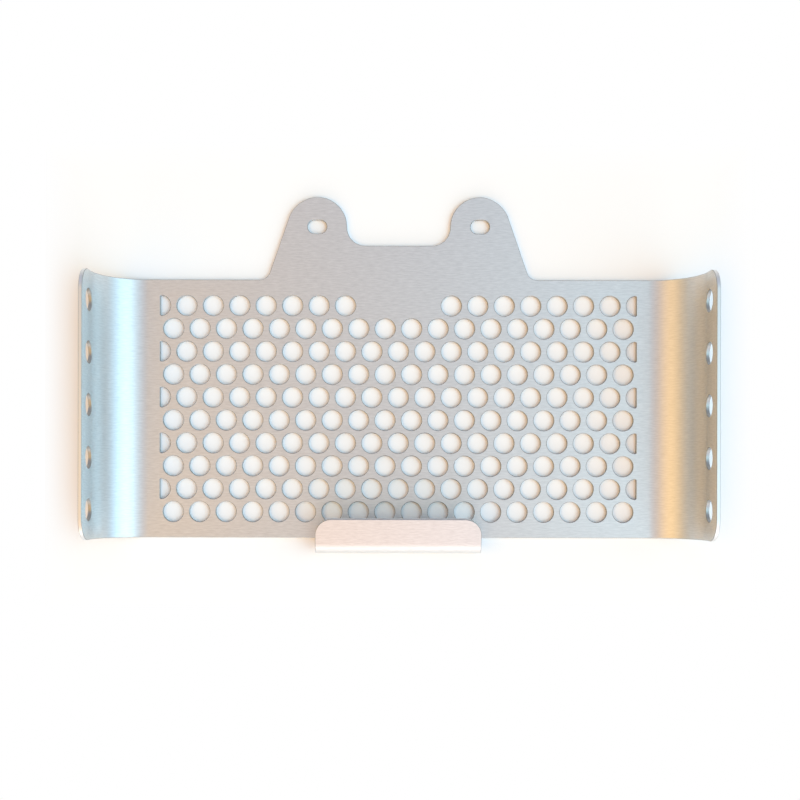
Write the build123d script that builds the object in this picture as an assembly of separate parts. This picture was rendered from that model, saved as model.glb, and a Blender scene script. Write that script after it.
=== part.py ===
from build123d import *
import os
from math import cos, radians, sin, sqrt, tan

# Radiator guard: one laser-cut sheet of brushed stainless steel, folded cold.
# It lies on its outer face. The panel is flat on the XY plane with its underside at Z 0,
# the ears point along +Y, and the wings and the hook lip are folded up towards +Z.
# All sizes are in millimetres, all angles in degrees.

# The sheet and its flat panel, between the bend lines of the two wings
sheet_thickness = 1.5
panel_width = 196.4
panel_height = 101.4

# Perforation: staggered rows at 60 degrees, cut off square at both sides of the panel
hole_diameter = 8.0
hole_pitch = 10.4
hole_edge_margin = 9.8       # least distance from the first and last row to the panel's edges
hole_side_margin = 4.4       # least distance from the square sides of the pattern to the bend lines
half_hole_corner = 0.6       # corner radius of the half-round holes that end every other row

# Wings: a wide bend, then a straight flange with a row of holes along its free edge
wing_bend_radius = 18.0      # inside radius
wing_bend_angle = 90.0
wing_height = 31.3           # from the panel's underside to the free edge
wing_corner_radius = 8.5
wing_hole_diameter = 8.4
wing_hole_pitch = 19.7
wing_hole_inset = 9.4        # hole centres below the free edge
wing_hole_end_margin = 10.0  # least distance from the first and last hole to the wing's ends

# Ears: two slotted ears on the top edge, with a raised valley between them
slot_spacing = 64.0
slot_rise = 20.9             # slot centres above the panel's top edge
slot_width = 5.5
slot_length = 7.5
ear_radius = 11.7
ear_flank_angle = 19.0       # slope of the outer flanks, from upright
ear_foot_radius = 4.2        # fillet where a flank meets the top edge
valley_rise = 13.4           # valley floor above the panel's top edge
valley_radius = 7.3          # fillet where an ear meets the valley floor
valley_wall = 0.2            # least straight side of an ear between that fillet and the ear's round head

# Hook lip: a tab on the bottom edge, rolled up and back over the panel
lip_width = 64.0
lip_bend_radius = 4.3        # inside radius
lip_bend_angle = 162.0
lip_flat_length = 9.9
lip_corner_radius = 6.5

# Worked out from the sizes above
row_pitch = hole_pitch * sqrt(3) / 2
row_count = 1 + int((panel_height - 2 * hole_edge_margin) / row_pitch)
pitches_across = int((panel_width - 2 * hole_side_margin) / hole_pitch)
wing_hole_count = 1 + int((panel_height - 2 * wing_hole_end_margin) / wing_hole_pitch)
wing_outer_radius = wing_bend_radius + sheet_thickness
lip_outer_radius = lip_bend_radius + sheet_thickness
top_edge = panel_height / 2
slot_height = top_edge + slot_rise
valley_floor = top_edge + valley_rise
ear_inner_side = slot_spacing / 2 - ear_radius
ear_lean = radians(ear_flank_angle)
flank_top_x = slot_spacing / 2 + ear_radius * cos(ear_lean)
flank_rise = slot_rise + ear_radius * sin(ear_lean)
flank_foot_x = flank_top_x + flank_rise * tan(ear_lean)


def nearest_corner(sketch, x, y):
    return sketch.vertices().sort_by_distance((x, y))[0]


def ear():
    """The right-hand ear: a round head on a foot with an upright inner side and a sloping outer flank."""
    foot = Polygon(
        (ear_inner_side, slot_height),
        (ear_inner_side, top_edge),
        (flank_foot_x, top_edge),
        (flank_top_x, top_edge + flank_rise),
        align=None,
    )
    return foot + Pos(slot_spacing / 2, slot_height) * Circle(ear_radius)


def panel_outline():
    """The flat panel with both ears and the valley between them, before any hole is cut."""
    valley = Pos(0, top_edge + valley_rise / 2) * Rectangle(2 * ear_inner_side, valley_rise)
    outline = Rectangle(panel_width, panel_height) + valley + ear() + mirror(ear(), Plane.YZ)
    ear_side = slot_rise - valley_rise
    for side in (-1, 1):
        valley_corner = nearest_corner(outline, side * ear_inner_side, valley_floor)
        outline = fillet(valley_corner, min(valley_radius, ear_side - valley_wall))
        flank_foot = nearest_corner(outline, side * flank_foot_x, top_edge)
        outline = fillet(flank_foot, ear_foot_radius)
    return outline


def half_hole():
    """A round hole cut off square through its centre, open towards +X, with eased corners."""
    right_half = Pos(hole_diameter / 2, 0) * Rectangle(hole_diameter, hole_diameter)
    half = Circle(hole_diameter / 2) & right_half
    return fillet(half.vertices(), half_hole_corner)


def perforation():
    """Rows from the top down. Half holes end the first and every other row, and full rows lie between.

    Below the valley the top row leaves its holes out, so that the ears stand on whole sheet.
    """
    first_x = -pitches_across * hole_pitch / 2
    first_y = (row_count - 1) * row_pitch / 2
    full = Circle(hole_diameter / 2)
    left_end = half_hole()
    right_end = mirror(left_end, Plane.YZ)
    holes = []
    for row in range(row_count):
        y = first_y - row * row_pitch
        if row % 2:
            xs = [first_x + (i + 1 / 2) * hole_pitch for i in range(pitches_across)]
        else:
            xs = [first_x + i * hole_pitch for i in range(1, pitches_across)]
            holes += [Pos(first_x, y) * left_end, Pos(-first_x, y) * right_end]
        if row == 0:
            xs = [x for x in xs if abs(x) > ear_inner_side]
        holes += [Pos(x, y) * full for x in xs]
    return holes


def panel():
    """The flat panel as cut: outline, slots and perforation."""
    slot = SlotOverall(slot_length, slot_width)
    slots = [Pos(side * slot_spacing / 2, slot_height) * slot for side in (-1, 1)]
    return extrude(panel_outline() - slots - perforation(), sheet_thickness)


def fold(width, bend_radius, bend_angle, flange):
    """Fold a strip up from an edge that lies on the X axis, with the strip running out along +Y.

    The flange is an outline that starts on the X axis, and the bend carries it round.
    """
    outer_radius = bend_radius + sheet_thickness
    section = Plane.XZ * Pos(0, sheet_thickness / 2) * Rectangle(width, sheet_thickness)
    bend = revolve(section, Axis((0, 0, outer_radius), (1, 0, 0)), bend_angle)
    bend_end = Pos(0, 0, outer_radius) * Rot(bend_angle, 0, 0) * Pos(0, 0, -outer_radius)
    return bend + bend_end * extrude(flange, sheet_thickness)


def strip(width, length):
    return Pos(0, length / 2) * Rectangle(width, length)


def wing():
    """A wing folded up from an edge on the X axis, its free corners rounded and its row of holes cut."""
    flange = strip(panel_height, wing_height - wing_outer_radius)
    folded = fold(panel_height, wing_bend_radius, wing_bend_angle, flange)
    side_view = strip(panel_height, wing_height)
    side_view = fillet(side_view.vertices().group_by(Axis.Y)[-1], wing_corner_radius)
    first_x = -(wing_hole_count - 1) * wing_hole_pitch / 2
    hole = Circle(wing_hole_diameter / 2)
    hole_height = wing_height - wing_hole_inset
    side_view -= [Pos(first_x + i * wing_hole_pitch, hole_height) * hole for i in range(wing_hole_count)]
    return folded & extrude(Plane.XZ * side_view, -wing_outer_radius)


def hook_lip():
    """The lip rolled up from an edge on the X axis, its free corners rounded."""
    flange = strip(lip_width, lip_flat_length)
    flange = fillet(flange.vertices().group_by(Axis.Y)[-1], lip_corner_radius)
    return fold(lip_width, lip_bend_radius, lip_bend_angle, flange)


def guard():
    """The whole guard in one piece, with the middle of its footprint at the origin."""
    right_edge = Plane((panel_width / 2, 0, 0), x_dir=(0, -1, 0))
    bottom_edge = Plane((0, -panel_height / 2, 0), x_dir=(-1, 0, 0))
    right_wing = right_edge * wing()
    left_wing = mirror(right_wing, Plane.YZ)
    lip = bottom_edge * hook_lip()
    top = slot_height + ear_radius
    bottom = -panel_height / 2 - lip_outer_radius
    return Pos(0, -(top + bottom) / 2) * (panel() + right_wing + left_wing + lip)


os.makedirs("parts", exist_ok=True)
export_step(guard(), "parts/guard_sheet.step")
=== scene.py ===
from math import cos, pi, radians, sin, sqrt, tan

import bmesh
import bpy
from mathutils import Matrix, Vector


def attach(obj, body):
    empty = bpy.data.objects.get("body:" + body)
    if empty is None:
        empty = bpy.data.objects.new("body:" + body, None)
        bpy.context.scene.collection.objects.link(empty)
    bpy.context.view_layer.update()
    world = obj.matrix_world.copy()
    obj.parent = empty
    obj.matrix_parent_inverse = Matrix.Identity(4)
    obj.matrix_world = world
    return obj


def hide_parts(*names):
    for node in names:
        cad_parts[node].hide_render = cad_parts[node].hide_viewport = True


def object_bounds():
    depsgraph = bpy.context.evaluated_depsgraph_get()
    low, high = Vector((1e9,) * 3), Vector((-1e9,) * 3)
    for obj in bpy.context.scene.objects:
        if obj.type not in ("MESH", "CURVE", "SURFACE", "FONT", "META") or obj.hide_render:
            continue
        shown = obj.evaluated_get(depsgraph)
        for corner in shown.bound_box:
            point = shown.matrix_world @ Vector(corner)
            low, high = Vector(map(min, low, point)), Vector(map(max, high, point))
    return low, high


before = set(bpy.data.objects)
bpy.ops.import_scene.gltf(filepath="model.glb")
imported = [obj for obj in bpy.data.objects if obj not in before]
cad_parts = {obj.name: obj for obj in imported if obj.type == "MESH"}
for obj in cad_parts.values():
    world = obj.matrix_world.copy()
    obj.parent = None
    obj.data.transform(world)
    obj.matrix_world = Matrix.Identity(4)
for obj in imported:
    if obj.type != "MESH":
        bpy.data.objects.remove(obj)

cad_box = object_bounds()

# Sizes of the sheet, in metres, as the solid has them
MM = 0.001
sheet_thickness = 1.5 * MM
panel_width = 196.4 * MM
panel_height = 101.4 * MM
edge_break = 0.2 * MM            # deburred rim of every cut edge

hole_radius = 4.0 * MM
hole_pitch = 10.4 * MM
row_pitch = hole_pitch * sqrt(3) / 2
row_pairs = 5                    # each pair is a row ended by half holes and a row of whole holes
pitches_across = 18
half_hole_corner = 0.6 * MM

wing_bend_radius = 18.0 * MM
wing_corner_radius = 8.5 * MM
wing_hole_radius = 4.2 * MM
wing_hole_pitch = 19.7 * MM
wing_hole_count = 5
wing_hole_inset = 9.4 * MM

slot_rise = 20.9 * MM
slot_width = 5.5 * MM
slot_length = 7.5 * MM
slot_spacing = 64.0 * MM
ear_radius = 11.7 * MM
ear_lean = radians(19)
ear_foot_radius = 4.2 * MM
valley_rise = 13.4 * MM
valley_radius = 7.3 * MM

lip_width = 64.0 * MM
lip_bend_radius = 4.3 * MM
lip_bend_angle = radians(162)
lip_flat_length = 9.9 * MM
lip_corner_radius = 6.5 * MM

# Where the shadow on the floor starts to fade and where it ends, measured out from the guard's footprint
shadow_full = 8.5 * MM
shadow_end = 22.0 * MM

# How finely round shapes are divided
hole_sides = 32
arc_steps = 10
wing_fold_steps = 36
lip_fold_steps = 27

# The flat blank, before it is folded: a bend uses up its length along the middle of the sheet
wing_height = cad_box[1].z - cad_box[0].z
wing_bend_length = (wing_bend_radius + sheet_thickness / 2) * pi / 2
wing_flat_length = wing_height - wing_bend_radius - sheet_thickness
blank_width = panel_width + 2 * (wing_bend_length + wing_flat_length)
lip_bend_length = (lip_bend_radius + sheet_thickness / 2) * lip_bend_angle
top_edge = panel_height / 2
ear_height = slot_rise + ear_radius
ear_inner_side = slot_spacing / 2 - ear_radius
flank_top_x = slot_spacing / 2 + ear_radius * cos(ear_lean)
flank_foot_x = flank_top_x + (slot_rise + ear_radius * sin(ear_lean)) * tan(ear_lean)
first_row_y = (2 * row_pairs - 1) * row_pitch / 2
panel_centre_y = (lip_bend_radius + sheet_thickness - ear_height) / 2
near = 0.01 * MM                 # how close to its place a point has to lie to be picked


def edit(piece):
    """Open one piece for editing, by itself."""
    bpy.ops.object.mode_set(mode="OBJECT")
    bpy.ops.object.select_all(action="DESELECT")
    bpy.context.view_layer.objects.active = piece
    piece.select_set(True)
    bpy.ops.object.mode_set(mode="EDIT")


def done():
    """Close the piece being edited and hand it on."""
    bpy.ops.object.mode_set(mode="OBJECT")
    return bpy.context.active_object


def pick(kind, test):
    """Select the vertices, edges or faces of the mesh being edited whose middle passes the test."""
    bpy.ops.mesh.select_mode(type={"verts": "VERT", "edges": "EDGE", "faces": "FACE"}[kind])
    bpy.ops.mesh.select_all(action="DESELECT")
    mesh = bmesh.from_edit_mesh(bpy.context.active_object.data)
    for item in getattr(mesh, kind):
        middle = item.co if kind == "verts" else sum((v.co for v in item.verts), Vector()) / len(item.verts)
        item.select_set(test(middle))
    bmesh.update_edit_mesh(bpy.context.active_object.data)


def slide(x=0.0, y=0.0, z=0.0):
    bpy.ops.transform.translate(value=(x, y, z))


def round_corners(radius, corner_angle, test):
    """Round the outline's corners that pass the test, where two edges meet at the given angle."""
    pick("verts", test)
    tangent_length = radius / tan(corner_angle / 2)
    bpy.ops.mesh.bevel(offset=tangent_length, offset_type="OFFSET", affect="VERTICES", segments=arc_steps,
                       profile=0.5, clamp_overlap=False)


def at(x, y):
    """A test for the points at this height, on either side."""
    return lambda p: abs(abs(p.x) - x) < near and abs(p.y - y) < near


def cut(place, direction):
    """Put a line of edges across the whole piece, without parting it."""
    bpy.ops.mesh.select_all(action="SELECT")
    bpy.ops.mesh.bisect(plane_co=place, plane_no=direction)


def blank_outline():
    """The outline of the flat blank: panel and wings, ears drawn up from the top edge, lip drawn down."""
    bpy.ops.object.select_all(action="DESELECT")
    bpy.ops.mesh.primitive_plane_add(size=1)
    edit(bpy.context.active_object)
    bpy.ops.transform.resize(value=(blank_width, panel_height, 1))
    for x in (ear_inner_side, flank_foot_x, lip_width / 2):
        for side in (-1, 1):
            cut((side * x, 0, 0), (1, 0, 0))
    pick("edges", lambda p: abs(p.y - top_edge) < near and abs(p.x) < flank_foot_x + near)
    bpy.ops.mesh.extrude_region_move(TRANSFORM_OT_translate={"value": (0, valley_rise, 0)})
    valley_floor = top_edge + valley_rise
    pick("edges", lambda p: abs(p.y - valley_floor) < near and abs(p.x) > ear_inner_side - near)
    bpy.ops.mesh.extrude_region_move(TRANSFORM_OT_translate={"value": (0, ear_height - valley_rise, 0)})
    for height in (valley_rise, ear_height):
        for side in (-1, 1):
            flank = Vector((side * flank_foot_x, top_edge + height, 0))
            pick("verts", lambda p: (p - flank).length < near)
            slide(x=-side * height * tan(ear_lean))
    pick("edges", lambda p: abs(p.y + top_edge) < near and abs(p.x) < lip_width / 2 + near)
    lip_length = lip_bend_length + lip_flat_length
    bpy.ops.mesh.extrude_region_move(TRANSFORM_OT_translate={"value": (0, -lip_length, 0)})
    bpy.ops.mesh.select_all(action="SELECT")
    bpy.ops.mesh.dissolve_limited(angle_limit=radians(1))
    square = pi / 2
    round_corners(wing_corner_radius, square, lambda p: abs(p.x) > blank_width / 2 - near)
    round_corners(lip_corner_radius, square, lambda p: p.y < -top_edge - lip_bend_length)
    round_corners(valley_radius, square, at(ear_inner_side, valley_floor))
    round_corners(ear_radius, square, at(ear_inner_side, top_edge + ear_height))
    flank_tip_x = flank_foot_x - ear_height * tan(ear_lean)
    round_corners(ear_radius, square + ear_lean, at(flank_tip_x, top_edge + ear_height))
    round_corners(ear_foot_radius, square + ear_lean, at(flank_foot_x, top_edge))
    bpy.ops.mesh.select_all(action="SELECT")
    bpy.ops.mesh.remove_doubles(threshold=near)
    bpy.ops.mesh.delete(type="ONLY_FACE")
    return done()


def round_rim(x, y, radius):
    """The rim of one round hole, as a loop of edges."""
    bpy.ops.object.select_all(action="DESELECT")
    bpy.ops.mesh.primitive_circle_add(vertices=hole_sides, radius=radius, fill_type="NOTHING")
    rim = bpy.context.active_object
    edit(rim)
    slide(x, y)
    return done()


def repeat(rim, count, step):
    """Copy a rim, or a row of rims, step by step."""
    array = rim.modifiers.new("Row", "ARRAY")
    array.count = count
    array.use_relative_offset = False
    array.use_constant_offset = True
    array.constant_offset_displace = step
    bpy.ops.object.modifier_apply(modifier=array.name)


def both_sides(rim):
    """Copy a rim, or a row of rims, to the other side of the guard."""
    mirror = rim.modifiers.new("Other side", "MIRROR")
    mirror.use_mirror_merge = False
    bpy.ops.object.modifier_apply(modifier=mirror.name)


def whole_hole_rows():
    """Every second row, with whole holes from side to side."""
    rims = round_rim((1 - pitches_across) / 2 * hole_pitch, first_row_y - row_pitch, hole_radius)
    repeat(rims, pitches_across, (hole_pitch, 0, 0))
    repeat(rims, row_pairs, (0, -2 * row_pitch, 0))
    return rims


def shifted_hole_rows():
    """The rows between, half a pitch over. The top row leaves its holes out below the valley."""
    rims = round_rim((1 - pitches_across / 2) * hole_pitch, first_row_y, hole_radius)
    repeat(rims, pitches_across - 1, (hole_pitch, 0, 0))
    repeat(rims, row_pairs, (0, -2 * row_pitch, 0))
    edit(rims)
    pick("verts", lambda p: p.y > first_row_y - row_pitch / 2 and abs(p.x) < ear_inner_side - hole_radius)
    bpy.ops.mesh.delete(type="VERT")
    return done()


def half_hole_ends():
    """The half holes that end the shifted rows, each cut off square through its middle."""
    rims = round_rim(0, 0, hole_radius)
    edit(rims)
    pick("verts", lambda p: p.x < -near)
    bpy.ops.mesh.delete(type="VERT")
    pick("verts", lambda p: p.x < near)
    bpy.ops.mesh.edge_face_add()
    bpy.ops.mesh.select_all(action="SELECT")
    bpy.ops.mesh.edge_face_add()
    round_corners(half_hole_corner, pi / 2, lambda p: p.x < near)
    bpy.ops.mesh.select_all(action="SELECT")
    bpy.ops.mesh.delete(type="ONLY_FACE")
    bpy.ops.mesh.select_all(action="SELECT")
    slide(-pitches_across / 2 * hole_pitch, first_row_y)
    rims = done()
    repeat(rims, row_pairs, (0, -2 * row_pitch, 0))
    both_sides(rims)
    return rims


def ear_slots():
    """A slot in each ear: a round rim drawn out sideways."""
    rims = round_rim(0, 0, slot_width / 2)
    edit(rims)
    for side in (-1, 1):
        pick("verts", lambda p: p.x * side > near)
        slide(x=side * (slot_length - slot_width) / 2)
    bpy.ops.mesh.select_all(action="SELECT")
    slide(slot_spacing / 2, top_edge + slot_rise)
    rims = done()
    both_sides(rims)
    return rims


def wing_holes():
    """The row of holes along each wing's free edge."""
    first_y = -(wing_hole_count - 1) / 2 * wing_hole_pitch
    rims = round_rim(blank_width / 2 - wing_hole_inset, first_y, wing_hole_radius)
    repeat(rims, wing_hole_count, (0, wing_hole_pitch, 0))
    both_sides(rims)
    return rims


def flat_blank():
    """The blank as cut: its outline and all the rims, filled between."""
    outline = blank_outline()
    rims = [whole_hole_rows(), shifted_hole_rows(), half_hole_ends(), ear_slots(), wing_holes()]
    bpy.ops.object.select_all(action="DESELECT")
    for rim in rims:
        rim.select_set(True)
    outline.select_set(True)
    bpy.context.view_layer.objects.active = outline
    bpy.ops.object.join()
    edit(outline)
    bpy.ops.mesh.select_all(action="SELECT")
    bpy.ops.mesh.fill(use_beauty=True)
    for step in range(wing_fold_steps + 1):
        for side in (-1, 1):
            cut((side * (panel_width / 2 + wing_bend_length * step / wing_fold_steps), 0, 0), (1, 0, 0))
    for step in range(lip_fold_steps + 1):
        cut((0, -top_edge - lip_bend_length * step / lip_fold_steps, 0), (0, 1, 0))
    return done()


def thicken(sheet):
    """Give the blank its thickness, with every cut rim broken top and bottom."""
    edit(sheet)
    bpy.ops.mesh.select_all(action="SELECT")
    slide(z=edge_break)
    wall_height = sheet_thickness - 2 * edge_break
    bpy.ops.mesh.extrude_region_move(TRANSFORM_OT_translate={"value": (0, 0, wall_height)})
    bpy.ops.mesh.select_all(action="SELECT")
    bpy.ops.mesh.normals_make_consistent(inside=False)
    for level in (edge_break, sheet_thickness - edge_break):
        pick("faces", lambda p: abs(p.z - level) < near)
        bpy.ops.mesh.inset(thickness=edge_break, depth=edge_break, use_even_offset=True)
    return done()


def lay_grain(sheet):
    """Keep each point's place on the flat blank, so that the brushing follows the sheet round its bends."""
    mesh = sheet.data
    grain = mesh.uv_layers.new(name="Grain")
    for loop in mesh.loops:
        grain.data[loop.index].uv = mesh.vertices[loop.vertex_index].co.xy


def fold(sheet, place, heading, bend_radius, bend_length):
    """Bend the sheet up from a line across it. The bend runs out along the heading."""
    bpy.ops.object.select_all(action="DESELECT")
    bpy.ops.object.empty_add(location=(*place, sheet_thickness / 2), rotation=(pi / 2, 0, heading))
    bend_line = bpy.context.active_object
    bpy.context.view_layer.update()
    to_line = bend_line.matrix_world.inverted()
    reach = [(to_line @ v.co).x for v in sheet.data.vertices]
    low, high = min(reach), max(reach)
    bend = sheet.modifiers.new("Fold", "SIMPLE_DEFORM")
    bend.deform_method = "BEND"
    bend.deform_axis = "Z"
    bend.origin = bend_line
    bend.angle = bend_length / (bend_radius + sheet_thickness / 2)
    bend.limits = (-low / (high - low), (bend_length - low) / (high - low))
    bpy.context.view_layer.objects.active = sheet
    bpy.ops.object.modifier_apply(modifier=bend.name)
    bpy.data.objects.remove(bend_line)


def node(tree, kind, **inputs):
    """A new node with some of its inputs set by name."""
    made = tree.nodes.new(kind)
    for name, value in inputs.items():
        made.inputs[name.replace("_", " ")].default_value = value
    return made


def math_node(tree, kind, operation, values):
    """A math node for the given values, each a plain value or another node's output."""
    made = tree.nodes.new(kind)
    made.operation = operation
    for socket, value in zip(made.inputs, values):
        if isinstance(value, bpy.types.NodeSocket):
            tree.links.new(value, socket)
        else:
            socket.default_value = value
    return made


def number_math(tree, operation, *values):
    return math_node(tree, "ShaderNodeMath", operation, values).outputs["Value"]


def vector_math(tree, operation, *values, output="Vector"):
    return math_node(tree, "ShaderNodeVectorMath", operation, values).outputs[output]


def bare_metal(name):
    """A new metal: the material, its node tree and its shader."""
    metal = bpy.data.materials.new(name)
    metal.use_nodes = True
    shader = metal.node_tree.nodes["Principled BSDF"]
    shader.inputs["Metallic"].default_value = 1.0
    return metal, metal.node_tree, shader


def brushed_steel():
    """Satin stainless steel: fine streaks along the grain, and a gloss that spreads across it."""
    streaks_per_metre = (320, 1900, 1)
    steel, tree, shader = bare_metal("Brushed stainless")
    link = tree.links.new
    shader.inputs["Anisotropic"].default_value = 0.5
    shader.inputs["Anisotropic Rotation"].default_value = 0.25
    tangent = node(tree, "ShaderNodeTangent")
    tangent.direction_type = "UV_MAP"
    tangent.uv_map = "Grain"
    link(tangent.outputs["Tangent"], shader.inputs["Tangent"])
    place = node(tree, "ShaderNodeUVMap")
    place.uv_map = "Grain"
    stretch = node(tree, "ShaderNodeMapping", Scale=streaks_per_metre)
    link(place.outputs["UV"], stretch.inputs["Vector"])
    streaks = node(tree, "ShaderNodeTexNoise", Scale=1.0, Detail=3.0, Roughness=0.6)
    link(stretch.outputs["Vector"], streaks.inputs["Vector"])
    tint = node(tree, "ShaderNodeValToRGB")
    dark, light = tint.color_ramp.elements
    dark.position = 0.3
    dark.color = (0.69, 0.69, 0.68, 1)
    light.position = 0.7
    light.color = (0.81, 0.81, 0.8, 1)
    link(streaks.outputs["Fac"], tint.inputs["Fac"])
    link(tint.outputs["Color"], shader.inputs["Base Color"])
    gloss = node(tree, "ShaderNodeMapRange", To_Min=0.43, To_Max=0.49)
    link(streaks.outputs["Fac"], gloss.inputs["Value"])
    link(gloss.outputs["Result"], shader.inputs["Roughness"])
    return steel


def edge_metal(name, dark, light):
    """Bare metal of a cut edge: matt, with a fine mottle of a darker and a lighter shade."""
    mottles_per_metre = 4000
    edge, tree, shader = bare_metal(name)
    link = tree.links.new
    shader.inputs["Roughness"].default_value = 0.45
    place = node(tree, "ShaderNodeTexCoord")
    mottle = node(tree, "ShaderNodeTexNoise", Scale=mottles_per_metre, Detail=1.0)
    link(place.outputs["Object"], mottle.inputs["Vector"])
    tint = node(tree, "ShaderNodeValToRGB")
    tint.color_ramp.elements[0].color = dark
    tint.color_ramp.elements[1].color = light
    link(mottle.outputs["Fac"], tint.inputs["Fac"])
    link(tint.outputs["Color"], shader.inputs["Base Color"])
    return edge


def in_hole(p):
    """Whether a place on the flat blank belongs to a hole or a slot rather than to the outline."""
    within_holes = abs(p.y) < first_row_y + hole_radius + near
    within_wings = abs(p.x) < blank_width / 2 - wing_hole_inset + wing_hole_radius + near
    beside_slot = abs(abs(p.x) - slot_spacing / 2) < slot_length / 2 + near
    along_slot = abs(p.y - top_edge - slot_rise) < slot_width / 2 + near
    return within_holes and within_wings or beside_slot and along_slot


def finish_sheet(sheet):
    """Brushed faces, lighter bare edges round the outline, and painted shade on every broken rim and on the
    walls of the holes and slots, in a darker copy of the edge metal.
    """
    sheet.name = "guard_sheet_visual"
    sheet.data.materials.append(brushed_steel())
    sheet.data.materials.append(edge_metal("Outline edge", (0.72, 0.72, 0.71, 1), (0.86, 0.86, 0.85, 1)))
    # Painted shade: the broken rims and the walls of the holes and slots get a darker copy of the edge
    # metal, for the shade that falls in them
    sheet.data.materials.append(edge_metal("Rims and hole walls, painted shade", (0.36, 0.36, 0.35, 1), (0.48, 0.48, 0.47, 1)))
    brushed, outline_edge, shaded_rim_walls = range(3)
    for face in sheet.data.polygons:
        levelness = abs(face.normal.z)
        flat = levelness > 0.9
        upright = levelness < 0.5
        if flat:
            face.material_index = brushed
        elif upright and not in_hole(face.center):
            face.material_index = outline_edge
        # Painted shade on the broken rims and on the walls of the holes and slots
        else:
            face.material_index = shaded_rim_walls


def show(tree, output, share, lit, plain):
    """Show the plain surface in place of the lit one, by the given share."""
    mix = node(tree, "ShaderNodeMixShader")
    tree.links.new(share, mix.inputs["Fac"])
    tree.links.new(lit, mix.inputs[1])
    tree.links.new(plain, mix.inputs[2])
    tree.links.new(mix.outputs["Shader"], tree.nodes[output].inputs["Surface"])


def white_paper():
    """White paper that takes the guard's shadow. Further out it is seen as plain white."""
    paper = bpy.data.materials.new("White paper")
    paper.use_nodes = True
    tree = paper.node_tree
    shader = tree.nodes["Principled BSDF"]
    shader.inputs["Base Color"].default_value = (0.97, 0.97, 0.97, 1)
    shader.inputs["Roughness"].default_value = 0.9
    shader.inputs["Specular IOR Level"].default_value = 0.0
    place = node(tree, "ShaderNodeTexCoord").outputs["Object"]
    beyond_edges = vector_math(tree, "SUBTRACT", vector_math(tree, "ABSOLUTE", place), cad_box[1])
    split = node(tree, "ShaderNodeSeparateXYZ")
    tree.links.new(beyond_edges, split.inputs["Vector"])
    distance = number_math(tree, "MAXIMUM", split.outputs["X"], split.outputs["Y"])
    fade = node(tree, "ShaderNodeMapRange", From_Min=shadow_full, From_Max=shadow_end)
    tree.links.new(distance, fade.inputs["Value"])
    path = node(tree, "ShaderNodeLightPath").outputs
    seen = number_math(tree, "MAXIMUM", path["Is Camera Ray"], path["Is Glossy Ray"])
    share = number_math(tree, "MULTIPLY", fade.outputs["Result"], seen)
    plain = node(tree, "ShaderNodeEmission", Color=(1, 1, 1, 1), Strength=1.0)
    show(tree, "Material Output", share, shader.outputs["BSDF"], plain.outputs["Emission"])
    # The plain white is there to be seen, and lights nothing
    paper.cycles.emission_sampling = "NONE"
    return paper


def floor():
    """A wide floor, just clear of the guard's underside."""
    width = 6
    clearance = 0.05 * MM
    bpy.ops.object.select_all(action="DESELECT")
    bpy.ops.mesh.primitive_plane_add(size=width, location=(0, 0, -clearance))
    table = bpy.context.active_object
    table.name = "Floor"
    table.data.materials.append(white_paper())


def front_box():
    """A wide soft box low in front of the guard, which lights the roll of the lip."""
    width, height = 2.4, 0.7
    radiance = 2.2
    place = Vector((0, -2.1, 0.45))
    bpy.ops.object.light_add(type="AREA", location=place, rotation=place.to_track_quat("Z", "Y").to_euler())
    box = bpy.context.active_object.data
    box.shape = "RECTANGLE"
    box.size = width
    box.size_y = height
    box.energy = pi * width * height * radiance


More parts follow.
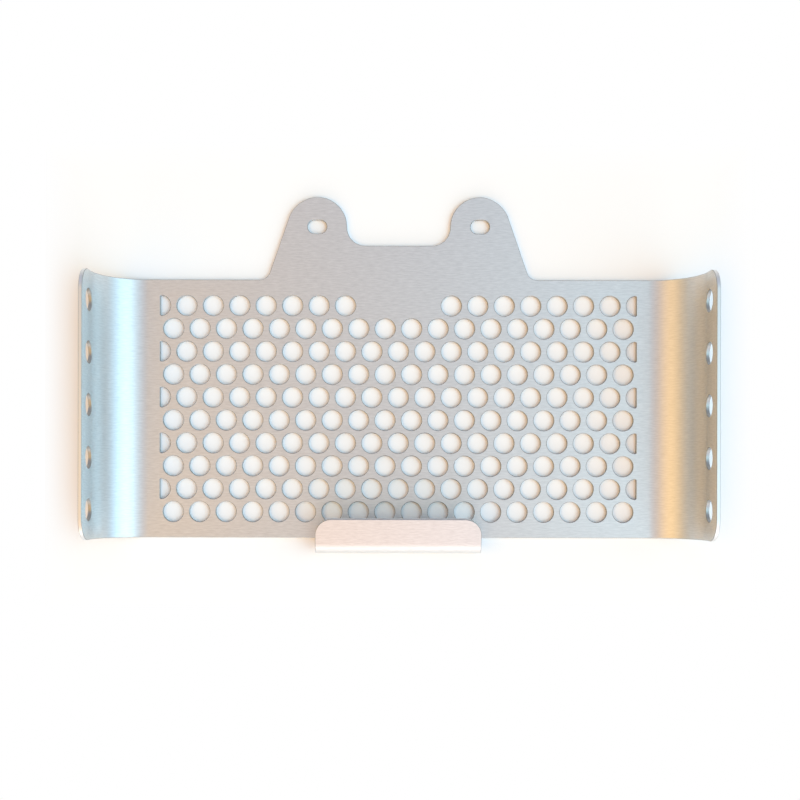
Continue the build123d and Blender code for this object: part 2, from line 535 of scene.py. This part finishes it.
def light_tent(level, glows):
    """A soft tent all round: an even level and broad glows, each fading out round its own direction.

    Seen by the camera itself, the tent is plain white.
    """
    tent = bpy.data.worlds.new("Light tent")
    bpy.context.scene.world = tent
    tent.use_nodes = True
    tree = tent.node_tree
    direction = node(tree, "ShaderNodeTexCoord").outputs["Object"]
    total = level
    for from_vertical, azimuth, sharpness, colour in glows:
        lean, turn = radians(from_vertical), radians(azimuth)
        heading = (sin(lean) * cos(turn), sin(lean) * sin(turn), cos(lean))
        facing = vector_math(tree, "DOT_PRODUCT", direction, heading, output="Value")
        fade = number_math(tree, "POWER", number_math(tree, "MAXIMUM", facing, 0.0), sharpness)
        glow = vector_math(tree, "MULTIPLY", colour, fade)
        total = vector_math(tree, "ADD", total, glow)
    lit = tree.nodes["Background"]
    tree.links.new(total, lit.inputs["Color"])
    plain = node(tree, "ShaderNodeBackground", Color=(1, 1, 1, 1))
    seen = node(tree, "ShaderNodeLightPath").outputs["Is Camera Ray"]
    show(tree, "World Output", seen, lit.outputs["Background"], plain.outputs["Background"])


def camera():
    """Straight down, with the lens shifted as in the photograph."""
    height = 430 * MM                # above the panel's inner face
    frame_width = 314.6 * MM         # what the picture spans on that face
    foot = (-5.43 * MM, -42.37 * MM)
    roll = radians(0.126)
    sensor_width = 36
    place = (*foot, sheet_thickness + height)
    bpy.ops.object.camera_add(location=place, rotation=(0, 0, roll))
    eye = bpy.context.active_object
    eye.data.sensor_width = sensor_width
    eye.data.lens = sensor_width * height / frame_width
    eye.data.shift_x = 0.01965
    eye.data.shift_y = 0.10315
    eye.data.clip_start = 0.01
    bpy.context.scene.camera = eye


def guard():
    """The whole guard: cut, thickened and finished as a flat blank, then folded and set in its place."""
    sheet = thicken(flat_blank())
    lay_grain(sheet)
    finish_sheet(sheet)
    fold(sheet, (panel_width / 2, 0), 0, wing_bend_radius, wing_bend_length)
    fold(sheet, (-panel_width / 2, 0), pi, wing_bend_radius, wing_bend_length)
    fold(sheet, (0, -top_edge), -pi / 2, lip_bend_radius, lip_bend_length)
    edit(sheet)
    bpy.ops.mesh.select_all(action="SELECT")
    slide(y=panel_centre_y)
    sheet = done()
    bpy.ops.object.shade_smooth_by_angle(angle=radians(30))
    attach(sheet, "root")
    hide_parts("guard_sheet")


guard()
floor()
camera()
front_box()
light_tent((0.42, 0.44, 0.41), (
    # degrees from vertical, azimuth from +X, sharpness, colour
    (38, 190, 14, (1.6, 0.84, 0.1)),       # warm, high on the left
    (38, -10, 14, (1.15, 1.95, 2.2)),      # cool, high on the right
    (62, 195, 8, (0.35, 0.13, 0.0)),       # warm, low on the left
    (62, -15, 8, (0.5, 1.0, 1.5)),         # cool, low on the right
    (45, 270, 8, (0.45, 0.0, 0.0)),        # a little warmth from the front
    (58, 232, 8, (0.65, 0.45, 0.07)),      # warm front corner, on the left
    (58, -52, 8, (0.76, 0.92, 1.06)),      # cool front corner, on the right
    (45, 90, 8, (0.15, 0.2, 0.53)),        # faint cool back
))
bpy.context.scene.view_settings.view_transform = "Standard"
